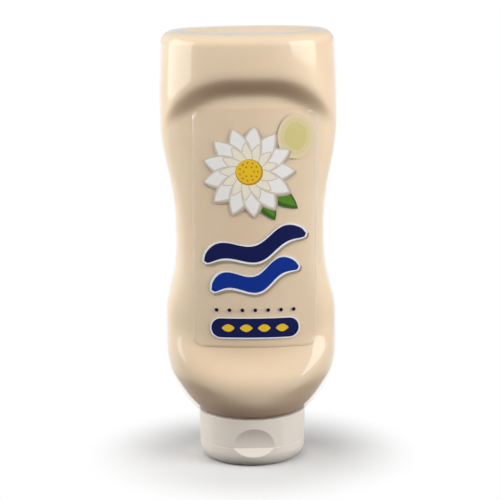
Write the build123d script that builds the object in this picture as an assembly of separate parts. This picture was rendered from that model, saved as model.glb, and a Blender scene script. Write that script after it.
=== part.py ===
from build123d import *
from math import cos, pi, radians, sin, sqrt
import os

# A clear squeeze bottle of mayonnaise that stands upside down on its round flip-top cap.
# Millimetres, +Z up, the label faces -Y, and the origin is on the floor under the bottle's axis.
# Every body surface is a radius about the axis, given by an angle and a height, so the wall,
# the contents and the labels are all drawn from one skin and fit each other by an inset.

os.makedirs("parts", exist_ok=True)

# Heights
total_height = 206.0
cap_height = 23.6            # the shoulder of the bottle meets the cap here
lid_height = 9.4             # the seam between the cap and its flip lid

# Half widths of the body, left to right
upper_half_width = 41.9      # bulge beside the upper end of the label
upper_bulge_z = 164.0
upper_taper = 1.2            # how much narrower the bulge gets up to the heel
waist_half_width = 35.5
waist_z = 111.0
waist_rise_skew = 1.2        # above 1, the waist widens later on its way up
lower_half_width = 40.8
lower_bulge_z = 72.0
waist_fall_skew = 1.5
dome_z = 56.0                # from here down the sides round in to the cap
shoulder_bend = 0.762        # how much of a quarter ellipse rounds them in

# Half depths of the body, front to back
upper_half_depth = 32.0
lower_half_depth = 33.0
lower_depth_z = 43.0         # from here down the front and back round in to the cap
shoulder_radius = 25.7       # round end of the shoulder, on the cap
body_squareness = 2.35       # exponent of the oval: 2 is an ellipse
corner_heel = 5.5            # round of the edge at the closed end

# Recess for the label, on the front and on the back
panel_half_depth = 24.6      # half depth of the bottle between the two recesses
panel_radius = 85.0          # bow of the recess, seen from above
panel_top_z = 175.3          # where the recess starts to run out into the upper bulge
panel_top_run = 17.0
panel_bottom_z = 61.0        # where it starts to run out into the lower bulge
panel_bottom_run = 34.0
arch_drop = 16.5             # how much lower the upper edge of the recess lies at the sides
smile_rise = 12.0            # how much higher its lower edge lies at the sides
edge_bow = 4                 # the higher, the flatter both edges are in the middle
panel_blend = 5.0            # softness of the recess's edge

# Wall, contents and closed end
wall = 1.0
base_wall = 1.3              # the closed end is thicker
fill_gap = 0.15              # contents to wall
base_dish = 1.8              # depth of the hollow in the closed end
base_ring = 3.4              # width of the ring round the hollow
dish_slope = 6.0             # run from the ring down to the bottom of the hollow
dish_overrun = 0.6           # how far the cut runs out past the closed end

# Neck, inside the cap
neck_radius = 19.0
neck_length = 10.0
neck_wall = 1.6
neck_clearance = 0.15

# Cap and lid
cap_top_radius = 25.6
cap_seam_radius = 25.35
lid_flat_radius = 20.0       # flat underside that the bottle stands on
lid_edge_drop = 7.0          # height of the rounded edge
seam_bevel = 0.2
cap_rim_bevel = 0.4
foot_groove_radius = 15.5
foot_groove_width = 0.8
foot_groove_depth = 0.4

# Thumb recess across the seam
thumb_depth = 2.0
thumb_top_z = 18.9
thumb_bottom_z = 5.0

# Moulded hinge at the back of the cap
hinge_width = 15.0
hinge_reach = 4.5            # above and below the seam
hinge_thickness = 1.2
hinge_standoff = 0.25        # how far it stands out of the cap
hinge_gap = 0.1
hinge_fold = 1.0             # height of the thinned line that bends

# Labels
label_height = 112.3
label_width = 57.4
label_centre_z = 115.6
label_offset = 1.8           # the label sits this far right of the middle
label_lean = 0.7             # degrees
label_corner = 4.2
label_film = 0.15
label_glue = 0.06
back_label_height = 96.0
back_label_width = 52.0

# How finely the skin is drawn
section_points = 44
body_sections = 33
heel_steps = 5
dish_rings = 5
derivative_step = 0.05


def ease(fraction):
    """Smooth step from 0 to 1."""
    return (1 - cos(pi * min(max(fraction, 0.0), 1.0))) / 2


def soft_min(first, second, blend):
    """The smaller of two lengths, rounded over where they are alike."""
    share = min(max(0.5 + 0.5 * (second - first) / blend, 0.0), 1.0)
    return second + (first - second) * share - blend * share * (1 - share)


def shoulder_size(z, full_size, start_z):
    """Half size that rounds in along an ellipse, from start_z down to the cap."""
    below = max(start_z - z, 0.0) / (start_z - cap_height)
    share = sqrt(1 - (shoulder_bend * below) ** 2)
    end_share = sqrt(1 - shoulder_bend ** 2)
    return shoulder_radius + (full_size - shoulder_radius) * (share - end_share) / (1 - end_share)


def half_width(z):
    if z >= upper_bulge_z:
        up = (z - upper_bulge_z) / (total_height - corner_heel - upper_bulge_z)
        return upper_half_width - upper_taper * min(up, 1.0) ** 2
    if z >= waist_z:
        up = ((z - waist_z) / (upper_bulge_z - waist_z)) ** waist_rise_skew
        return waist_half_width + (upper_half_width - waist_half_width) * ease(up)
    if z >= lower_bulge_z:
        down = ((waist_z - z) / (waist_z - lower_bulge_z)) ** waist_fall_skew
        return waist_half_width + (lower_half_width - waist_half_width) * ease(down)
    return shoulder_size(z, lower_half_width, dome_z)


def half_depth(z):
    """Half depth of the oval, before the label recess is taken out."""
    if z >= lower_depth_z:
        up = (z - lower_depth_z) / (upper_bulge_z - lower_depth_z)
        return lower_half_depth + (upper_half_depth - lower_half_depth) * ease(up)
    return shoulder_size(z, lower_half_depth, lower_depth_z)


def squareness(z):
    """The oval turns into a circle on its way down to the cap."""
    up = (z - cap_height) / (dome_z - cap_height)
    return 2 + (body_squareness - 2) * ease(up)


def panel_depth(angle, z):
    """Half depth at which the recess lies, past the oval where there is no recess."""
    side = abs(cos(angle)) ** edge_bow
    above = (z - (panel_top_z - arch_drop * side)) / panel_top_run
    below = ((panel_bottom_z + smile_rise * side) - z) / panel_bottom_run
    clear = half_depth(z) + panel_blend
    return panel_half_depth + (clear - panel_half_depth) * ease(max(above, below))


def skin_radius(angle, z):
    """Radius of the outside of the bottle at one angle and height."""
    power = squareness(z)
    across = abs(cos(angle)) / half_width(z)
    along = abs(sin(angle)) / half_depth(z)
    oval = (across ** power + along ** power) ** (-1 / power)
    centre = panel_depth(angle, z) - panel_radius
    rise = abs(sin(angle)) * centre
    recess = rise + sqrt(max(rise ** 2 + panel_radius ** 2 - centre ** 2, 0.0))
    return soft_min(oval, recess, panel_blend)


def inset_radius(angle, z, inset):
    """Radius of a skin that lies inset inside the outer one, measured square to it."""
    radius = skin_radius(angle, z)
    step = derivative_step
    low, high = max(z - step, cap_height), min(z + step, total_height)
    up = (skin_radius(angle, high) - skin_radius(angle, low)) / (high - low)
    round_step = step / radius
    turn = skin_radius(angle + round_step, z) - skin_radius(angle - round_step, z)
    return radius - inset * sqrt(1 + up ** 2 + (turn / (2 * step)) ** 2)


def ring(z, inset):
    """Closed curve round the body at one height, inset from the outer skin, in two halves."""
    points = []
    for index in range(section_points):
        angle = 2 * pi * index / section_points
        radius = inset_radius(angle, z, inset)
        points.append((radius * cos(angle), radius * sin(angle), z))
    loop = Spline(*points, periodic=True)
    return Wire([loop.trim(0, 0.5), loop.trim(0.5, 1)])


def loft_rings(stations):
    """Solid through closed rings, each given as a height and an inset."""
    return Solid.make_loft([ring(z, inset) for z, inset in stations])


def wall_stations(bottom_z, top_z, inset):
    """Evenly spaced rings from bottom_z to top_z."""
    step = (top_z - bottom_z) / (body_sections - 1)
    return [(bottom_z + step * index, inset) for index in range(body_sections)]


def heel_stations(top_z, inset, corner):
    """Rings round the edge of the closed end, which end on its flat face."""
    turns = [radians(90 * (index + 1) / heel_steps) for index in range(heel_steps)]
    return [
        (top_z - corner + corner * sin(turn), inset + corner * (1 - cos(turn)))
        for turn in turns
    ]


def body_form(bottom_z, top_z, inset, corner):
    """Bottle shape with one skin inset and one heel, closed flat at both ends."""
    walls = wall_stations(bottom_z, top_z - corner, inset)
    return loft_rings(walls + heel_stations(top_z, inset, corner))


def post(radius, bottom_z, top_z):
    """Upright cylinder on the bottle's axis."""
    return Pos(0, 0, (bottom_z + top_z) / 2) * Cylinder(radius, top_z - bottom_z)


def turned(outline):
    """Solid of revolution about the bottle's axis, from an outline of radius and height."""
    return revolve(Plane.XZ * make_face(outline), Axis.Z)


def make_dish(gap):
    """Hollow in the closed end; a gap moves its surface down into the bottle."""
    rim = corner_heel + base_ring - gap
    floor_z = total_height - base_dish - gap
    shares = [index / (dish_rings - 1) for index in range(dish_rings)]
    return loft_rings([
        (floor_z + (base_dish + dish_overrun) * share ** 2, rim + dish_slope * (1 - share))
        for share in shares
    ])


def make_cavity(gap):
    """Space inside the bottle, down to the end of its neck, less a gap all round."""
    top_z = total_height - base_wall - gap
    body = body_form(cap_height + wall + gap, top_z, wall + gap, corner_heel - wall)
    neck = post(neck_radius - neck_wall - gap, cap_height - neck_length, cap_height + 2 * wall)
    return body + neck - make_dish(base_wall + gap)


def make_bottle():
    body = body_form(cap_height, total_height, 0.0, corner_heel)
    neck = post(neck_radius, cap_height - neck_length, cap_height + wall / 2)
    return body + neck - make_cavity(0.0) - make_dish(0.0)


def cap_radius(z):
    """Outside of the cap, which narrows a little down to the seam."""
    up = (z - lid_height) / (cap_height - lid_height)
    return cap_seam_radius + (cap_top_radius - cap_seam_radius) * up


def thumb_scoop():
    """Lying cylinder that hollows the cap's front, deepest at the seam."""
    rise = thumb_top_z - lid_height
    scoop_radius = (rise ** 2 + thumb_depth ** 2) / (2 * thumb_depth)
    front = cap_seam_radius - thumb_depth + scoop_radius
    scoop = Rot(0, 90, 0) * Cylinder(scoop_radius, 2 * cap_seam_radius)
    return Pos(0, -front, lid_height) * scoop


def thumb_ledge():
    """Wedge off the lid's front that leaves a sloping ledge below the scoop."""
    slope = thumb_depth / (lid_height - thumb_bottom_z)
    deep = -(cap_seam_radius - thumb_depth)
    far = -2 * cap_seam_radius
    over = seam_bevel
    wedge = Polyline(
        (far, lid_height + over),
        (deep + slope * over, lid_height + over),
        (deep - slope * (lid_height - thumb_bottom_z + over), thumb_bottom_z - over),
        (far, thumb_bottom_z - over),
        close=True,
    )
    return extrude(Plane.YZ * make_face(wedge), cap_seam_radius, both=True)


def hinge_block(gap):
    """Curved strap over the seam at the back, grown by a gap all round."""
    outer = cap_seam_radius + hinge_standoff + gap
    inner = cap_seam_radius + hinge_standoff - hinge_thickness - gap
    low, high = lid_height - hinge_reach - gap, lid_height + hinge_reach + gap
    sleeve = post(outer, low, high) - post(inner, low, high)
    window = Pos(0, cap_seam_radius, lid_height) * Box(
        hinge_width + 2 * gap, cap_seam_radius, 4 * hinge_reach
    )
    return sleeve & window


def make_cap_base():
    pocket_z = cap_height - neck_length - neck_clearance
    pocket_radius = neck_radius + neck_clearance
    outline = Polyline(
        (0, lid_height),
        (cap_seam_radius - seam_bevel, lid_height),
        (cap_radius(lid_height + seam_bevel), lid_height + seam_bevel),
        (cap_radius(cap_height - cap_rim_bevel), cap_height - cap_rim_bevel),
        (cap_top_radius - cap_rim_bevel, cap_height),
        (pocket_radius, cap_height),
        (pocket_radius, pocket_z),
        (0, pocket_z),
        close=True,
    )
    return turned(outline) - thumb_scoop() - hinge_block(hinge_gap)


def make_lid():
    edge = EllipticalCenterArc(
        (lid_flat_radius, lid_edge_drop),
        cap_seam_radius - lid_flat_radius,
        lid_edge_drop,
        start_angle=270,
        arc_size=90,
    )
    rest = Polyline(
        (cap_seam_radius, lid_edge_drop),
        (cap_seam_radius, lid_height - seam_bevel),
        (cap_seam_radius - seam_bevel, lid_height),
        (0, lid_height),
        (0, 0),
        (lid_flat_radius, 0),
    )
    groove = post(foot_groove_radius + foot_groove_width / 2, 0, foot_groove_depth)
    groove -= post(foot_groove_radius - foot_groove_width / 2, 0, foot_groove_depth)
    return turned(edge + rest) - thumb_ledge() - hinge_block(hinge_gap) - groove


def make_hinge():
    fold = Pos(0, cap_seam_radius + hinge_standoff, lid_height) * Box(
        2 * hinge_width, hinge_thickness, hinge_fold
    )
    return hinge_block(0.0) - fold


def make_label(width, height, side, offset, lean):
    """Clear film that follows the recess; side is -1 for the front and 1 for the back."""
    outer = body_form(cap_height, total_height, -label_glue - label_film, corner_heel)
    inner = body_form(cap_height, total_height, -label_glue, corner_heel)
    sheet = Plane.XZ * RectangleRounded(width, height, label_corner)
    block = extrude(sheet, upper_half_depth / 2, both=True)
    window = Pos(offset, side * upper_half_depth, label_centre_z) * Rot(0, lean, 0) * block
    return (outer & window) - inner


parts = {
    "bottle": make_bottle(),
    "mayonnaise": make_cavity(fill_gap),
    "cap_base": make_cap_base(),
    "flip_lid": make_lid(),
    "hinge_strap": make_hinge(),
    "front_label": make_label(label_width, label_height, -1, label_offset, label_lean),
    "back_label": make_label(back_label_width, back_label_height, 1, 0.0, 0.0),
}

for name, part in parts.items():
    export_step(part, f"parts/{name}.step")
    print(f"{name}: {part.volume / 1000:.1f} ml")
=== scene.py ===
import bpy
from math import cos, pi, radians, sin, sqrt
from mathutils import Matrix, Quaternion, Vector, geometry


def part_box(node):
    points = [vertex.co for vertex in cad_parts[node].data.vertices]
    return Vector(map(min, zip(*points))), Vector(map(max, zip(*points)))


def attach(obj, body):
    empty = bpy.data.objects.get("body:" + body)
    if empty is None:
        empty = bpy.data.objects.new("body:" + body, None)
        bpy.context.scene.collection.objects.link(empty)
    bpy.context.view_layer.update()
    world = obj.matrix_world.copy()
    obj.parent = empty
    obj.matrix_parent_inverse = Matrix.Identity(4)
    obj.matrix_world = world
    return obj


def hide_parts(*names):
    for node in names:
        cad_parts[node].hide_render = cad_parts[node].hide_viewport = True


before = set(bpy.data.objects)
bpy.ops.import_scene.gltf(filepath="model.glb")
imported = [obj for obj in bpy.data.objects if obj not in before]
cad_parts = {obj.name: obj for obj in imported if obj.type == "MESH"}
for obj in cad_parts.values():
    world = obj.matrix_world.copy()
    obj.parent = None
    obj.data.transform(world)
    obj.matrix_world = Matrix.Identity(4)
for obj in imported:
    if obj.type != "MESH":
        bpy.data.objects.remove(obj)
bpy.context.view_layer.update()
mm = 0.001
scene = bpy.context.scene


def srgb(red, green, blue):
    # 0-255 display colour to the linear colour that shaders want
    def linear(value):
        share = value / 255
        return share / 12.92 if share <= 0.04045 else ((share + 0.055) / 1.055) ** 2.4
    return (linear(red), linear(green), linear(blue), 1.0)


def ease(fraction):
    return (1 - cos(pi * min(max(fraction, 0.0), 1.0))) / 2


def softMin(first, second, blend):
    share = min(max(0.5 + 0.5 * (second - first) / blend, 0.0), 1.0)
    return second + (first - second) * share - blend * share * (1 - share)


def makePiece(name, verts, faces, materials, faceSlots=None, smooth=True):
    mesh = bpy.data.meshes.new(name)
    mesh.from_pydata([[value * mm for value in vert] for vert in verts], [], faces)
    for material in materials:
        mesh.materials.append(material)
    if faceSlots:
        mesh.polygons.foreach_set("material_index", faceSlots)
    mesh.polygons.foreach_set("use_smooth", [smooth] * len(mesh.polygons))
    mesh.validate()
    mesh.update()
    piece = bpy.data.objects.new(name, mesh)
    scene.collection.objects.link(piece)
    return piece


# the bottle's skin is a radius for each angle and height, in millimetres
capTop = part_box("cap_base")[1].z / mm
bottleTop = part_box("bottle")[1].z / mm

bottleShape = {
    "upperHalfWidth": 41.9, "upperBulgeZ": 164.0, "upperTaper": 1.2,
    "waistHalfWidth": 35.5, "waistZ": 111.0, "waistRiseSkew": 1.2, "waistFallSkew": 1.5,
    "lowerHalfWidth": 40.8, "lowerBulgeZ": 72.0, "domeZ": 56.0, "shoulderBend": 0.762,
    "upperHalfDepth": 32.0, "lowerHalfDepth": 33.0, "lowerDepthZ": 43.0,
    "shoulderRadius": 25.7, "squareness": 2.35, "heel": 5.5,
    "panelHalfDepth": 24.6, "panelRadius": 85.0, "panelBlend": 5.0,
    "panelTopZ": 175.3, "panelTopRun": 17.0, "panelBottomZ": 61.0, "panelBottomRun": 34.0,
    "archDrop": 16.5, "smileRise": 12.0, "edgeBow": 4,
    "dish": 1.8, "dishRing": 3.4, "dishSlope": 6.0,   # hollow in the closed end
}
bottleMesh = {"angles": 256, "ringSpacing": 1.5, "heelSteps": 8, "dishRings": 8, "slopeStep": 0.05}


def shoulderSize(z, fullSize, startZ):
    s = bottleShape
    below = max(startZ - z, 0.0) / (startZ - capTop)
    share = sqrt(1 - (s["shoulderBend"] * below) ** 2)
    endShare = sqrt(1 - s["shoulderBend"] ** 2)
    return s["shoulderRadius"] + (fullSize - s["shoulderRadius"]) * (share - endShare) / (1 - endShare)


def halfWidth(z):
    s = bottleShape
    if z >= s["upperBulgeZ"]:
        up = (z - s["upperBulgeZ"]) / (bottleTop - s["heel"] - s["upperBulgeZ"])
        return s["upperHalfWidth"] - s["upperTaper"] * min(up, 1.0) ** 2
    if z >= s["waistZ"]:
        up = ((z - s["waistZ"]) / (s["upperBulgeZ"] - s["waistZ"])) ** s["waistRiseSkew"]
        return s["waistHalfWidth"] + (s["upperHalfWidth"] - s["waistHalfWidth"]) * ease(up)
    if z >= s["lowerBulgeZ"]:
        down = ((s["waistZ"] - z) / (s["waistZ"] - s["lowerBulgeZ"])) ** s["waistFallSkew"]
        return s["waistHalfWidth"] + (s["lowerHalfWidth"] - s["waistHalfWidth"]) * ease(down)
    return shoulderSize(z, s["lowerHalfWidth"], s["domeZ"])


def halfDepth(z):
    s = bottleShape
    if z >= s["lowerDepthZ"]:
        up = (z - s["lowerDepthZ"]) / (s["upperBulgeZ"] - s["lowerDepthZ"])
        return s["lowerHalfDepth"] + (s["upperHalfDepth"] - s["lowerHalfDepth"]) * ease(up)
    return shoulderSize(z, s["lowerHalfDepth"], s["lowerDepthZ"])


def panelDepth(angle, z):
    s = bottleShape
    side = abs(cos(angle)) ** s["edgeBow"]
    above = (z - (s["panelTopZ"] - s["archDrop"] * side)) / s["panelTopRun"]
    below = ((s["panelBottomZ"] + s["smileRise"] * side) - z) / s["panelBottomRun"]
    clear = halfDepth(z) + s["panelBlend"]
    return s["panelHalfDepth"] + (clear - s["panelHalfDepth"]) * ease(max(above, below))


def skinRadius(angle, z):
    s = bottleShape
    power = 2 + (s["squareness"] - 2) * ease((z - capTop) / (s["domeZ"] - capTop))
    across = abs(cos(angle)) / halfWidth(z)
    along = abs(sin(angle)) / halfDepth(z)
    oval = (across ** power + along ** power) ** (-1 / power)
    centre = panelDepth(angle, z) - s["panelRadius"]
    rise = abs(sin(angle)) * centre
    recess = rise + sqrt(max(rise ** 2 + s["panelRadius"] ** 2 - centre ** 2, 0.0))
    return softMin(oval, recess, s["panelBlend"])


def insetRadius(angle, z, inset):
    # inset is measured square to the skin, as the wall is
    radius = skinRadius(angle, z)
    step = bottleMesh["slopeStep"]
    low, high = max(z - step, capTop), min(z + step, bottleTop)
    up = (skinRadius(angle, high) - skinRadius(angle, low)) / (high - low)
    turn = skinRadius(angle + step / radius, z) - skinRadius(angle - step / radius, z)
    return radius - inset * sqrt(1 + up ** 2 + (turn / (2 * step)) ** 2)


def skinSurface(name, stations, material):
    # closed mesh through rings, each a height and an inset
    angles = bottleMesh["angles"]
    verts, faces = [], []
    for z, inset in stations:
        for index in range(angles):
            angle = 2 * pi * index / angles
            radius = insetRadius(angle, min(z, bottleTop), inset)
            verts.append((radius * cos(angle), radius * sin(angle), z))
    for row in range(len(stations) - 1):
        for index in range(angles):
            following = (index + 1) % angles
            low, high = row * angles, (row + 1) * angles
            faces.append((low + index, low + following, high + following, high + index))
    faces.append(tuple(reversed(range(angles))))
    last = (len(stations) - 1) * angles
    faces.append(tuple(range(last, last + angles)))
    return makePiece(name, verts, faces, [material])


def wallHeights(bottomZ, topZ):
    count = int((topZ - bottomZ) / bottleMesh["ringSpacing"])
    return [bottomZ + (topZ - bottomZ) * index / count for index in range(count + 1)]


def heelStations(topZ, inset, corner):
    steps = bottleMesh["heelSteps"]
    turns = [radians(90 * (index + 1) / steps) for index in range(steps)]
    return [(topZ - corner + corner * sin(turn), inset + corner * (1 - cos(turn))) for turn in turns]


def newMaterial(name):
    material = bpy.data.materials.new(name)
    material.use_nodes = True
    material.node_tree.nodes.clear()
    return material, material.node_tree.nodes, material.node_tree.links


def addNode(nodes, kind, **values):
    node = nodes.new(kind)
    for key, value in values.items():
        if key in node.inputs:
            node.inputs[key].default_value = value
        else:
            setattr(node, key, value)
    return node


def noiseNode(nodes, links, scale, detail=3.0, stretch=None):
    coords = addNode(nodes, "ShaderNodeTexCoord")
    noise = addNode(nodes, "ShaderNodeTexNoise", Scale=scale, Detail=detail)
    if stretch:
        mapping = addNode(nodes, "ShaderNodeMapping")
        mapping.inputs["Scale"].default_value = stretch
        links.new(coords.outputs["Object"], mapping.inputs["Vector"])
        links.new(mapping.outputs["Vector"], noise.inputs["Vector"])
    else:
        links.new(coords.outputs["Object"], noise.inputs["Vector"])
    return noise


def colourRamp(nodes, links, source, stops):
    ramp = nodes.new("ShaderNodeValToRGB")
    while len(ramp.color_ramp.elements) < len(stops):
        ramp.color_ramp.elements.new(0.5)
    for element, (place, colour) in zip(ramp.color_ramp.elements, stops):
        element.position = place
        element.color = colour
    links.new(source, ramp.inputs["Fac"])
    return ramp


def grey(value):
    return (value, value, value, 1.0)


mayoLook = {
    "colour": srgb(248, 225, 195), "paler": srgb(250, 230, 202), "deeper": srgb(245, 219, 187),
    "roughness": 0.42, "glow": 0.15, "glowRadius": (0.9, 0.6, 0.35), "glowScale": 0.004, "folds": 0.05,
    # the last row is painted shade: the cream is tinted browner and darker where it faces down
    "paintedShadeFrom": -0.2, "paintedShadeTo": -0.68, "paintedShadeTint": (0.58, 0.45, 0.33, 1.0),
}


def mayoMaterial():
    look = mayoLook
    material, nodes, links = newMaterial("mayonnaiseCream")
    shader = addNode(nodes, "ShaderNodeBsdfPrincipled", Roughness=look["roughness"])
    shader.inputs["Subsurface Weight"].default_value = look["glow"]
    shader.inputs["Subsurface Radius"].default_value = look["glowRadius"]
    shader.inputs["Subsurface Scale"].default_value = look["glowScale"]
    clouds = noiseNode(nodes, links, 22.0, 4.0)
    ramp = colourRamp(nodes, links, clouds.outputs["Fac"], [
        (0.3, look["deeper"]), (0.5, look["colour"]), (0.7, look["paler"])])
    # painted shade: what faces down is tinted browner and darker, by its object-space normal
    coords = addNode(nodes, "ShaderNodeTexCoord")
    parts = nodes.new("ShaderNodeSeparateXYZ")
    links.new(coords.outputs["Normal"], parts.inputs["Vector"])
    down = nodes.new("ShaderNodeMapRange")
    down.interpolation_type = "SMOOTHSTEP"
    down.inputs["From Min"].default_value = look["paintedShadeFrom"]
    down.inputs["From Max"].default_value = look["paintedShadeTo"]
    links.new(parts.outputs["Z"], down.inputs["Value"])
    paintedShade = addNode(nodes, "ShaderNodeMix", data_type="RGBA", blend_type="MULTIPLY")
    paintedShade.inputs[7].default_value = look["paintedShadeTint"]
    links.new(down.outputs["Result"], paintedShade.inputs[0])
    links.new(ramp.outputs["Color"], paintedShade.inputs[6])
    links.new(paintedShade.outputs[2], shader.inputs["Base Color"])
    fold = noiseNode(nodes, links, 60.0, 2.0)
    bump = addNode(nodes, "ShaderNodeBump", Strength=look["folds"], Distance=0.0006)
    links.new(fold.outputs["Fac"], bump.inputs["Height"])
    links.new(bump.outputs["Normal"], shader.inputs["Normal"])
    output = nodes.new("ShaderNodeOutputMaterial")
    links.new(shader.outputs["BSDF"], output.inputs["Surface"])
    return material


shellLook = {"ior": 1.5, "roughness": 0.045, "ripple": 0.02, "tint": (0.985, 0.975, 0.955, 1.0)}
filmLook = {"ior": 1.46, "roughness": 0.11, "ripple": 0.015, "tint": (0.985, 0.98, 0.97, 1.0)}


def clearMaterial(name, look):
    # thin clear plastic: it mirrors more at a slant and lets the rest straight through
    material, nodes, links = newMaterial(name)
    clear = addNode(nodes, "ShaderNodeBsdfTransparent", Color=look["tint"])
    gloss = addNode(nodes, "ShaderNodeBsdfGlossy", Color=grey(1.0))
    wear = noiseNode(nodes, links, 30.0, 5.0)
    rough = colourRamp(nodes, links, wear.outputs["Fac"], [
        (0.35, grey(look["roughness"])), (0.75, grey(look["roughness"] * 1.8))])
    links.new(rough.outputs["Color"], gloss.inputs["Roughness"])
    wave = noiseNode(nodes, links, 14.0, 1.0, (1.0, 1.0, 0.35))
    bump = addNode(nodes, "ShaderNodeBump", Strength=look["ripple"], Distance=0.002)
    links.new(wave.outputs["Fac"], bump.inputs["Height"])
    links.new(bump.outputs["Normal"], gloss.inputs["Normal"])
    # Schlick's curve, the same from both sides, so that light also gets out at a slant
    slant = addNode(nodes, "ShaderNodeLayerWeight", Blend=0.5)
    steep = addNode(nodes, "ShaderNodeMath", operation="POWER")
    steep.inputs[1].default_value = 5.0
    mirror = ((look["ior"] - 1) / (look["ior"] + 1)) ** 2
    scale = addNode(nodes, "ShaderNodeMath", operation="MULTIPLY_ADD")
    scale.inputs[1].default_value = 1 - mirror
    scale.inputs[2].default_value = mirror
    links.new(slant.outputs["Facing"], steep.inputs[0])
    links.new(steep.outputs["Value"], scale.inputs[0])
    mix = nodes.new("ShaderNodeMixShader")
    output = nodes.new("ShaderNodeOutputMaterial")
    links.new(scale.outputs["Value"], mix.inputs["Fac"])
    links.new(clear.outputs["BSDF"], mix.inputs[1])
    links.new(gloss.outputs["BSDF"], mix.inputs[2])
    links.new(mix.outputs["Shader"], output.inputs["Surface"])
    return material


capLook = {
    "colour": srgb(243, 233, 222), "darker": srgb(238, 228, 215), "roughness": 0.36,
    "glow": 0.12, "glowRadius": (0.8, 0.7, 0.6), "glowScale": 0.002, "grain": 0.12,
}


def capMaterial():
    look = capLook
    material, nodes, links = newMaterial("mouldedWhitePlastic")
    shader = addNode(nodes, "ShaderNodeBsdfPrincipled", IOR=1.49)
    shader.inputs["Subsurface Weight"].default_value = look["glow"]
    shader.inputs["Subsurface Radius"].default_value = look["glowRadius"]
    shader.inputs["Subsurface Scale"].default_value = look["glowScale"]
    tone = noiseNode(nodes, links, 18.0, 3.0)
    ramp = colourRamp(nodes, links, tone.outputs["Fac"], [(0.35, look["darker"]), (0.65, look["colour"])])
    links.new(ramp.outputs["Color"], shader.inputs["Base Color"])
    grain = noiseNode(nodes, links, 900.0, 2.0)
    rough = colourRamp(nodes, links, grain.outputs["Fac"], [
        (0.3, grey(look["roughness"] - 0.05)), (0.7, grey(look["roughness"] + 0.07))])
    links.new(rough.outputs["Color"], shader.inputs["Roughness"])
    bump = addNode(nodes, "ShaderNodeBump", Strength=look["grain"], Distance=0.00004)
    links.new(grain.outputs["Fac"], bump.inputs["Height"])
    links.new(bump.outputs["Normal"], shader.inputs["Normal"])
    output = nodes.new("ShaderNodeOutputMaterial")
    links.new(shader.outputs["BSDF"], output.inputs["Surface"])
    return material


inkColours = {
    "navy": (10, 20, 78), "blue": (14, 52, 150), "keyline": (252, 253, 255), "sun": (250, 206, 48),
    "shade": (176, 156, 132), "petal": (255, 253, 250), "petalShade": (226, 214, 198),
    "petalEdge": (196, 180, 160), "petalInner": (255, 246, 226), "seed": (206, 146, 44),
    "leaf": (96, 142, 48), "leafDark": (62, 104, 36),
    "glow": (243, 225, 184), "glowMid": (237, 221, 168), "glowDeep": (229, 215, 148),
}


inkLook = {"roughness": 0.32, "shine": 0.15, "darker": 0.96}


def inkMaterial(name, colour):
    material, nodes, links = newMaterial("ink_" + name)
    shader = addNode(nodes, "ShaderNodeBsdfPrincipled", Roughness=inkLook["roughness"], IOR=1.46)
    shader.inputs["Specular IOR Level"].default_value = inkLook["shine"]
    base = srgb(*colour)
    darker = tuple(channel * inkLook["darker"] for channel in base[:3]) + (1.0,)
    speckle = noiseNode(nodes, links, 1400.0, 2.0)
    ramp = colourRamp(nodes, links, speckle.outputs["Fac"], [(0.35, darker), (0.6, base)])
    links.new(ramp.outputs["Color"], shader.inputs["Base Color"])
    output = nodes.new("ShaderNodeOutputMaterial")
    links.new(shader.outputs["BSDF"], output.inputs["Surface"])
    return material


clearPlastic = clearMaterial("clearBottlePlastic", shellLook)
labelFilm = clearMaterial("labelFilm", filmLook)
mayonnaise = mayoMaterial()
whitePlastic = capMaterial()
inks = {name: inkMaterial(name, colour) for name, colour in inkColours.items()}
print("materials made")


def bodyStations(bottomZ, insetAt):
    # rings from the shoulder over the heel and down into the hollow of the closed end
    s = bottleShape
    inset = insetAt(bottleTop)
    stations = [(z, insetAt(z)) for z in wallHeights(bottomZ, bottleTop - s["heel"])]
    stations += heelStations(bottleTop - inset, inset, s["heel"] - inset)
    rim = s["heel"] + s["dishRing"]
    for index in range(bottleMesh["dishRings"] + 1):
        share = index / bottleMesh["dishRings"]
        stations.append((bottleTop - inset - s["dish"] * ease(share), rim + s["dishSlope"] * share))
    return stations


def makeBottle():
    stations = bodyStations(capTop, lambda z: 0.0)
    piece = skinSurface("bottleShell", stations, clearPlastic)
    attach(piece, "root")
    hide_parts("bottle")


fillShape = {
    "inset": 0.5,          # the wall is 1 mm, so the cream reaches into it
    "domeInset": 1.6,      # more clear wall shows round the shoulder
    "domeZ": 46.0, "domeFade": 12.0, "foot": 0.6,
}


def makeFill():
    f = fillShape

    def insetAt(z):
        low = ease((f["domeZ"] - z) / f["domeFade"])
        return f["inset"] + (f["domeInset"] - f["inset"]) * low

    stations = bodyStations(capTop + f["foot"], insetAt)
    piece = skinSurface("mayonnaiseFill", stations, mayonnaise)
    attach(piece, "root")
    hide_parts("mayonnaise")


makeBottle()
makeFill()
print("bottle and contents made")

for capNode in ("cap_base", "flip_lid", "hinge_strap"):
    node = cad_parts[capNode]
    node.data.materials.clear()
    node.data.materials.append(whitePlastic)


# label print is drawn in millimetres from the label's middle
def spin(points, degrees, centre=(0.0, 0.0)):
    turn = radians(degrees)
    return [
        (centre[0] + (x - centre[0]) * cos(turn) - (y - centre[1]) * sin(turn),
         centre[1] + (x - centre[0]) * sin(turn) + (y - centre[1]) * cos(turn))
        for x, y in points
    ]


def ovalShape(x, y, radiusX, radiusY, tilt=0.0, steps=36):
    points = [(x + radiusX * cos(2 * pi * i / steps), y + radiusY * sin(2 * pi * i / steps))
              for i in range(steps)]
    return spin(points, tilt, (x, y))


def barShape(x, y, width, height, corner, tilt=0.0, steps=6):
    points = []
    for quarter, (signX, signY) in enumerate(((1, 1), (-1, 1), (-1, -1), (1, -1))):
        middle = (x + signX * (width / 2 - corner), y + signY * (height / 2 - corner))
        for i in range(steps + 1):
            turn = pi / 2 * (quarter + i / steps)
            points.append((middle[0] + corner * cos(turn), middle[1] + corner * sin(turn)))
    return spin(points, tilt, (x, y))


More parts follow.
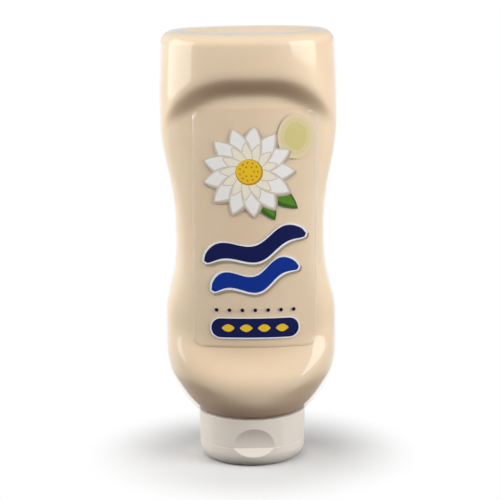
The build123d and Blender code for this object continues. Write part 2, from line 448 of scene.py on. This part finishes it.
def ribbonShape(x, y, length, waves, swing, thick, tilt=0.0, steps=44, phase=0.0):
    # wavy band with round ends
    upper, lower = [], []
    for i in range(steps + 1):
        share = i / steps
        along = (share - 0.5) * length
        across = swing * sin(2 * pi * waves * share + phase)
        half = thick / 2 * (1 - abs(2 * share - 1) ** 6) ** 0.5 + 0.02
        upper.append((x + along, y + across + half))
        lower.append((x + along, y + across - half))
    return spin(upper + lower[::-1], tilt, (x, y))


def leafShape(x, y, length, width, tilt, steps=14):
    upper = [(x + length * i / steps, y + width / 2 * sin(pi * i / steps) ** 0.8) for i in range(steps + 1)]
    lower = [(x + length * i / steps, y - width / 2 * sin(pi * i / steps) ** 0.8)
             for i in range(steps - 1, 0, -1)]
    return spin(upper + lower, tilt, (x, y))


def frontPrint():
    art = []
    for ink, radiusX, radiusY in (("glow", 8.5, 10.5), ("glowMid", 7.0, 8.6), ("glowDeep", 5.2, 6.4)):
        art.append((ink, ovalShape(18.6, 43.0, radiusX, radiusY)))
    # open blossom in the upper half, over two leaves
    flowerX, flowerY, petals = -3.0, 27.0, 13
    for tilt, length in ((-38, 29.0), (-62, 26.0)):
        art.append(("leafDark", leafShape(flowerX, flowerY, length, 10.0, tilt)))
        art.append(("leaf", leafShape(flowerX + 0.4, flowerY + 0.2, length * 0.94, 7.0, tilt)))
    for index in range(petals):
        tilt = 360 * index / petals
        art.append(("petalEdge", leafShape(flowerX + 0.5, flowerY - 0.6, 21.8, 10.6, tilt)))
    for index in range(petals):
        tilt = 360 * index / petals
        art.append(("petalShade", leafShape(flowerX, flowerY, 21.6, 9.8, tilt)))
        art.append(("petal", leafShape(flowerX, flowerY, 20.6, 8.2, tilt)))
    for index in range(petals):
        tilt = 360 * (index + 0.5) / petals
        art.append(("petalShade", leafShape(flowerX, flowerY, 14.0, 5.4, tilt)))
        art.append(("petalInner", leafShape(flowerX, flowerY, 13.2, 4.4, tilt)))
    art.append(("seed", ovalShape(flowerX + 0.2, flowerY - 0.3, 6.3, 6.1)))
    art.append(("sun", ovalShape(flowerX, flowerY, 5.8, 5.6)))
    for ring, count in ((4.2, 11), (2.4, 6)):
        for index in range(count):
            turn = 2 * pi * index / count
            art.append(("seed", ovalShape(flowerX + ring * cos(turn), flowerY + ring * sin(turn),
                                          0.5, 0.5, steps=10)))
    # two long waves slanting across the middle: height, length and ink
    tilt = 15.0
    waves = ((-9.0, 49.0, "navy"), (-23.5, 42.0, "blue"))
    for y, length, ink in waves:
        art.append(("shade", ribbonShape(0.7, y - 0.8, length + 1.8, 1.5, 2.8, 9.6, tilt)))
    for y, length, ink in waves:
        art.append(("keyline", ribbonShape(0, y, length + 1.8, 1.5, 2.8, 9.5, tilt)))
        art.append((ink, ribbonShape(0, y, length, 1.5, 2.8, 7.8, tilt)))
    # row of dots and a plain panel along the foot
    for index in range(7):
        art.append(("navy", ovalShape(-18.0 + 6.0 * index, -38.6, 0.9, 0.9, steps=16)))
    art.append(("keyline", barShape(0, -47.2, 42.0, 10.4, 5.0)))
    art.append(("navy", barShape(0, -47.2, 40.8, 9.2, 4.4)))
    for index in range(4):
        art.append(("sun", leafShape(-15.6 + 8.4 * index, -47.2, 6.0, 3.6, 0)))
    return art


def backPrint():
    art = [("navy", barShape(0, 39.0, 34.0, 7.0, 3.2)), ("keyline", barShape(0, 39.0, 32.8, 5.8, 2.6)),
           ("blue", barShape(0, 39.0, 31.8, 4.8, 2.1))]
    for index in range(10):
        width = 40.0 - (5.0 if index % 4 == 3 else 0.0) - (index % 3)
        art.append(("navy", barShape(-20.5 + width / 2, 30.0 - 3.0 * index, width, 0.9, 0.4)))
    art.append(("navy", barShape(0, -14.5, 41.0, 24.0, 1.0)))
    art.append(("keyline", barShape(0, -14.5, 40.2, 23.2, 0.8)))
    for index in range(6):
        width = 18.0 - 1.5 * (index % 3)
        art.append(("navy", barShape(-18.5 + width / 2, -5.6 - 3.6 * index, width, 0.9, 0.4)))
        art.append(("navy", barShape(14.0, -5.6 - 3.6 * index, 7.0, 0.9, 0.4)))
    for index in range(2):
        art.append(("navy", barShape(-6.0, -32.0 - 3.2 * index, 28.0 - 5 * index, 0.9, 0.4)))
    return art


labelSheets = {
    "front": {"node": "front_label", "width": 57.4, "height": 112.3, "middleZ": 115.6, "offset": 1.8,
              "lean": 0.7, "side": -1, "corner": 4.2, "art": frontPrint},
    "back": {"node": "back_label", "width": 52.0, "height": 96.0, "middleZ": 115.6, "offset": 0.0,
             "lean": 0.0, "side": 1, "corner": 4.2, "art": backPrint},
}
labelMesh = {
    "lift": 0.21, "footLift": 0.02,   # top of the film and its rim, off the bottle
    "grid": 2.4, "edgeStep": 1.5, "weld": 0.0005, "halvings": 22,
}


def onSkin(x, z, side, lift):
    # point on the bottle straight behind a place on the label, by halving the angle
    low, high = 0.15 * pi, 0.85 * pi   # a label keeps clear of the bottle's sides
    for _ in range(labelMesh["halvings"]):
        angle = (low + high) / 2
        if skinRadius(angle, z) * cos(angle) > x:
            low = angle
        else:
            high = angle
    radius = insetRadius(angle, z, -lift)
    return (radius * cos(angle), side * radius * sin(angle), z)


def boxOf(shape):
    xs, ys = [x for x, _ in shape], [y for _, y in shape]
    return min(xs), max(xs), min(ys), max(ys)


def inside(x, y, shape):
    hit = False
    for (oneX, oneY), (twoX, twoY) in zip(shape, shape[1:] + shape[:1]):
        if (oneY > y) != (twoY > y) and x < oneX + (twoX - oneX) * (y - oneY) / (twoY - oneY):
            hit = not hit
    return hit


def finer(shape):
    # long edges are split, so that they follow the bow of the bottle
    step = labelMesh["edgeStep"]
    points = []
    for (x0, y0), (x1, y1) in zip(shape, shape[1:] + shape[:1]):
        count = max(int(((x1 - x0) ** 2 + (y1 - y0) ** 2) ** 0.5 / step), 1)
        points += [(x0 + (x1 - x0) * i / count, y0 + (y1 - y0) * i / count) for i in range(count)]
    return points


def makeLabel(name, sheet):
    outline = barShape(0, 0, sheet["width"], sheet["height"], sheet["corner"])
    shapes = [(ink, finer(shape)) for ink, shape in [("film", outline)] + sheet["art"]()]
    points, loops = [], []
    for _, shape in shapes:
        loops.append(list(range(len(points), len(points) + len(shape))))
        points += [Vector(point) for point in shape]
    grid = labelMesh["grid"]
    columns, rows = int(sheet["width"] / grid), int(sheet["height"] / grid)
    for column in range(1, columns):
        for row in range(1, rows):
            points.append(Vector((-sheet["width"] / 2 + sheet["width"] * column / columns,
                                  -sheet["height"] / 2 + sheet["height"] * row / rows)))
    cut = geometry.delaunay_2d_cdt(points, [], loops, 1, labelMesh["weld"], False)
    places, triangles = cut[0], cut[2]
    names = ["film"] + sorted({ink for ink, _ in shapes[1:]})
    boxes = [boxOf(shape) for _, shape in shapes]
    faces, slots = [], []
    for triangle in triangles:
        x = sum(places[corner].x for corner in triangle) / 3
        y = sum(places[corner].y for corner in triangle) / 3
        for index in range(len(shapes) - 1, -1, -1):   # the ink printed last is on top
            left, right, low, high = boxes[index]
            if left < x < right and low < y < high and inside(x, y, shapes[index][1]):
                faces.append(tuple(triangle))
                slots.append(names.index(shapes[index][0]))
                break
    turned = spin(places, -sheet["lean"])
    side = sheet["side"]

    def onBottle(place, lift):
        x, y = place
        return onSkin(sheet["offset"] - side * x, sheet["middleZ"] + y, side, lift)

    verts = [onBottle(place, labelMesh["lift"]) for place in turned]
    # rim down to the bottle
    edges = dict.fromkeys(edge for face in faces for edge in zip(face, face[1:] + face[:1]))
    rim = [(one, two) for one, two in edges if (two, one) not in edges]
    feet = {}
    for one, _ in rim:
        feet[one] = len(verts)
        verts.append(onBottle(turned[one], labelMesh["footLift"]))
    for one, two in rim:
        faces.append((two, one, feet[one], feet[two]))
        slots.append(0)
    materials = [labelFilm] + [inks[ink] for ink in names[1:]]
    piece = makePiece(name, verts, faces, materials, slots)
    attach(piece, "root")
    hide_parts(sheet["node"])


makeLabel("frontLabel", labelSheets["front"])
makeLabel("backLabel", labelSheets["back"])
print("labels made")


# in metres; the floor throws back less light than it shows; near the bottle it is a grey that takes the
# real shadow, and this greyer disc, fading to white away from the bottle, is painted shadow
floorLook = {"size": 12.0, "seen": 0.8, "bounce": 0.04, "whiteFrom": 0.034, "whiteTo": 0.085}


def makeFloor():
    half = floorLook["size"] / 2 / mm
    corners = [(-half, -half, 0), (half, -half, 0), (half, half, 0), (-half, half, 0)]
    piece = makePiece("studioFloor", corners, [(0, 1, 2, 3)], [], smooth=False)
    material, nodes, links = newMaterial("paleFloor")
    seen = addNode(nodes, "ShaderNodeBsdfDiffuse", Color=grey(floorLook["seen"]))
    bounce = addNode(nodes, "ShaderNodeBsdfDiffuse", Color=grey(floorLook["bounce"]))
    white = addNode(nodes, "ShaderNodeEmission", Strength=1.0)
    coords = nodes.new("ShaderNodeTexCoord")
    length = addNode(nodes, "ShaderNodeVectorMath", operation="LENGTH")
    links.new(coords.outputs["Object"], length.inputs[0])
    fade = nodes.new("ShaderNodeMapRange")
    fade.interpolation_type = "SMOOTHSTEP"
    fade.inputs["From Min"].default_value = floorLook["whiteFrom"]
    fade.inputs["From Max"].default_value = floorLook["whiteTo"]
    links.new(length.outputs["Value"], fade.inputs["Value"])
    # painted shadow: the grey floor near the bottle turns to white emission farther out
    near = nodes.new("ShaderNodeMixShader")
    links.new(fade.outputs["Result"], near.inputs["Fac"])
    links.new(seen.outputs["BSDF"], near.inputs[1])
    links.new(white.outputs["Emission"], near.inputs[2])
    path = nodes.new("ShaderNodeLightPath")
    direct = addNode(nodes, "ShaderNodeMath", operation="MAXIMUM")
    links.new(path.outputs["Is Camera Ray"], direct.inputs[0])
    links.new(path.outputs["Is Glossy Ray"], direct.inputs[1])
    pick = nodes.new("ShaderNodeMixShader")
    output = nodes.new("ShaderNodeOutputMaterial")
    links.new(direct.outputs["Value"], pick.inputs["Fac"])
    links.new(bounce.outputs["BSDF"], pick.inputs[1])
    links.new(near.outputs["Shader"], pick.inputs[2])
    links.new(pick.outputs["Shader"], output.inputs["Surface"])
    piece.data.materials.append(material)


studioLamps = {
    # name: place, aim, width, height, watts; only the two boxes at the sides show in gloss
    "leftBox": ((-0.74, -0.06, 0.43), (0, 0, 0.43), 0.8, 0.66, 5.2),
    "rightBox": ((0.66, -0.42, 0.46), (0, 0, 0.46), 0.6, 0.64, 4.9),
    "frontBox": ((-0.35, -0.95, 1.2), (0, 0, 0.1), 1.2, 0.5, 6.6),
    "topBox": ((0.0, -0.1, 1.3), (0, 0, 0.1), 0.9, 0.9, 2.0),
    "leftSoft": ((-0.74, -0.06, 0.43), (0, 0, 0.43), 0.8, 0.66, 2.6),
    "rightSoft": ((0.66, -0.42, 0.46), (0, 0, 0.46), 0.6, 0.64, 2.5),
    "rightLow": ((0.7, -0.16, 0.07), (0, 0, 0.05), 0.5, 0.12, 0.6),
    "backBox": ((0.0, 1.2, 0.9), (0, 0, 0.1), 1.2, 0.8, 4.0),
}
# white behind everything, dimmer in gloss, nearly dark as a light
airLook = {"light": 0.016, "gloss": 0.68}


def makeLamps():
    for name, (place, aim, width, height, watts) in studioLamps.items():
        lamp = bpy.data.lights.new(name, "AREA")
        lamp.shape = "RECTANGLE"
        lamp.size, lamp.size_y = width, height
        lamp.energy = watts
        holder = bpy.data.objects.new(name, lamp)
        holder.location = place
        holder.rotation_euler = (Vector(aim) - Vector(place)).to_track_quat("-Z", "Y").to_euler()
        holder.visible_glossy = name in ("leftBox", "rightBox")
        scene.collection.objects.link(holder)


def makeAir():
    world = bpy.data.worlds.new("studioAir")
    world.use_nodes = True
    nodes, links = world.node_tree.nodes, world.node_tree.links
    nodes.clear()
    path = nodes.new("ShaderNodeLightPath")
    mirrored = addNode(nodes, "ShaderNodeMath", operation="MULTIPLY")
    mirrored.inputs[1].default_value = airLook["gloss"]
    direct = addNode(nodes, "ShaderNodeMath", operation="MAXIMUM")
    level = addNode(nodes, "ShaderNodeMath", operation="MAXIMUM")
    level.inputs[1].default_value = airLook["light"]
    air = addNode(nodes, "ShaderNodeBackground", Color=grey(1.0))
    output = nodes.new("ShaderNodeOutputWorld")
    links.new(path.outputs["Is Glossy Ray"], mirrored.inputs[0])
    links.new(path.outputs["Is Camera Ray"], direct.inputs[0])
    links.new(mirrored.outputs["Value"], direct.inputs[1])
    links.new(direct.outputs["Value"], level.inputs[0])
    links.new(level.outputs["Value"], air.inputs["Strength"])
    links.new(air.outputs["Background"], output.inputs["Surface"])
    scene.world = world


# millimetres and degrees
cameraSetup = {"distance": 871, "height": 274, "turn": 1.8, "pitch": 11.24, "roll": 0.75, "lens": 133.56,
               "sensor": 36.0}


def makeCamera():
    c = cameraSetup
    camera = bpy.data.cameras.new("studioCamera")
    camera.lens = c["lens"]
    camera.sensor_width = c["sensor"]
    holder = bpy.data.objects.new("studioCamera", camera)
    turn = radians(c["turn"])
    holder.location = (-c["distance"] * mm * sin(turn), -c["distance"] * mm * cos(turn), c["height"] * mm)
    look = Vector((sin(turn), cos(turn), 0)) * cos(radians(c["pitch"]))
    look.z = -sin(radians(c["pitch"]))
    aim = look.to_track_quat("-Z", "Y")
    holder.rotation_mode = "QUATERNION"
    holder.rotation_quaternion = aim @ Quaternion((0, 0, 1), radians(-c["roll"]))
    scene.collection.objects.link(holder)
    scene.camera = holder


makeFloor()
makeLamps()
makeAir()
makeCamera()
scene.view_settings.view_transform = "Standard"
print("floor, lamps and camera made")
